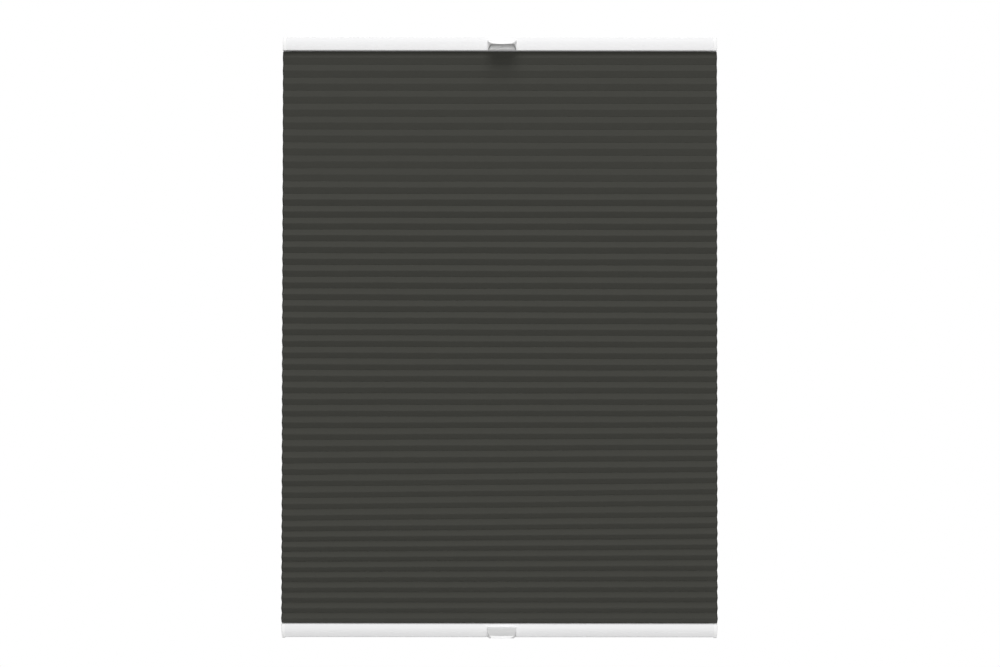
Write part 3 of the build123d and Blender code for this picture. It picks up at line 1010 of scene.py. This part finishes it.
def make_world(ambient):
    """White all round: camera and reflections see it at full white, and it lights the blind more dimly."""
    world = bpy.data.worlds.new("white_studio")
    world.use_nodes = True
    tree = world.node_tree
    background = tree.nodes["Background"]
    background.inputs["Color"].default_value = (1, 1, 1, 1)
    path = tree.nodes.new("ShaderNodeLightPath")
    strength = add_node(tree, "ShaderNodeMapRange", {"To Min": ambient, "To Max": 1.0})
    white = add_node(tree, "ShaderNodeMath", operation="MAXIMUM")
    tree.links.new(path.outputs["Is Camera Ray"], white.inputs[0])
    tree.links.new(path.outputs["Is Glossy Ray"], white.inputs[1])
    tree.links.new(white.outputs[0], strength.inputs["Value"])
    tree.links.new(strength.outputs[0], background.inputs["Strength"])
    bpy.context.scene.world = world


def make_camera(stage, centre):
    data = bpy.data.cameras.new("camera")
    data.lens = stage.lens
    camera = bpy.data.objects.new("camera", data)
    aim = centre + Vector((stage.aim_right, 0, stage.aim_up))
    back = Vector((0, -math.cos(stage.pitch), -math.sin(stage.pitch)))
    camera.location = aim + back * stage.distance
    camera.rotation_euler = (math.pi / 2 + stage.pitch, -stage.roll, 0)
    bpy.context.scene.collection.objects.link(camera)
    bpy.context.scene.camera = camera


class BLIND_OT_stage(bpy.types.Operator):
    """Set up the pale floor, soft light and camera"""
    bl_idname = "blind.stage"
    bl_label = "Studio Stage"

    def execute(self, context):
        stage = context.scene.blind_stage
        lo, hi = CAD_BOUNDS
        centre = Vector((0, CLOTH_BOX[0].y / 2, (lo.z + hi.z) / 2))
        deselect()
        bpy.ops.mesh.primitive_plane_add(size=1, location=(0, -stage.floor_forward, lo.z - stage.floor_drop))
        floor = context.object
        floor.name = "floor"
        floor.scale = (stage.floor_width, stage.floor_depth, 1)
        keep_place_in_mesh(floor)
        paper = skin_material("floor_pale", stage.floor_colour, 0.6, 2 * MM, 0.02 * MM,
                              {"Emission Strength": stage.floor_glow}, patch=0.4)
        # the glow is there for the camera alone, so that it doesn't light the blind from below
        tree = paper.node_tree
        path = tree.nodes.new("ShaderNodeLightPath")
        tree.links.new(path.outputs["Is Camera Ray"], tree.nodes["Principled BSDF"].inputs["Emission Color"])
        put_material(floor, paper)
        for name, side in (("key", -1), ("top", -1), ("back", 1)):
            power, rise, distance, size = (
                getattr(stage, f"{name}_{value}") for value in ("power", "rise", "distance", "size"))
            offset = Vector((stage.light_side, side * distance * math.cos(rise), distance * math.sin(rise)))
            add_area_light(name, centre + offset, centre, size, power)
        make_world(stage.ambient)
        make_camera(stage, centre)
        context.scene.view_settings.view_transform = "Standard"
        return {"FINISHED"}


# ---- add-on

PIECE_OPERATORS = (BLIND_OT_rails, BLIND_OT_caps, BLIND_OT_handles, BLIND_OT_cloth, BLIND_OT_spring,
                   BLIND_OT_inner_parts, BLIND_OT_stage)


class BLIND_PT_panel(bpy.types.Panel):
    """Buttons that build the blind, and the sizes and colours that they use"""
    bl_idname = "BLIND_PT_panel"
    bl_label = "Honeycomb Pleated Blind"
    bl_space_type = "VIEW_3D"
    bl_region_type = "UI"
    bl_category = "Blind"

    def draw(self, context):
        for operator in PIECE_OPERATORS:
            self.layout.operator(operator.bl_idname)
        for group in SETTINGS:
            box = self.layout.box()
            settings = getattr(context.scene, group)
            for name in SETTINGS[group].__annotations__:
                box.prop(settings, name)


SETTINGS = {
    "blind_cloth": ClothSettings,
    "blind_rails": RailSettings,
    "blind_handle": HandleSettings,
    "blind_stage": StageSettings,
}
CLASSES = (*SETTINGS.values(), *PIECE_OPERATORS, BLIND_PT_panel)


def register():
    for cls in CLASSES:
        bpy.utils.register_class(cls)
    for name, group in SETTINGS.items():
        setattr(bpy.types.Scene, name, PointerProperty(type=group))


def unregister():
    for name in SETTINGS:
        delattr(bpy.types.Scene, name)
    for cls in reversed(CLASSES):
        bpy.utils.unregister_class(cls)


def main():
    register()
    bpy.ops.blind.rails()
    bpy.ops.blind.caps()
    bpy.ops.blind.handles()
    bpy.ops.blind.cloth()
    bpy.ops.blind.spring()
    bpy.ops.blind.inner_parts()
    bpy.ops.blind.stage()


if __name__ == "__main__":
    main()
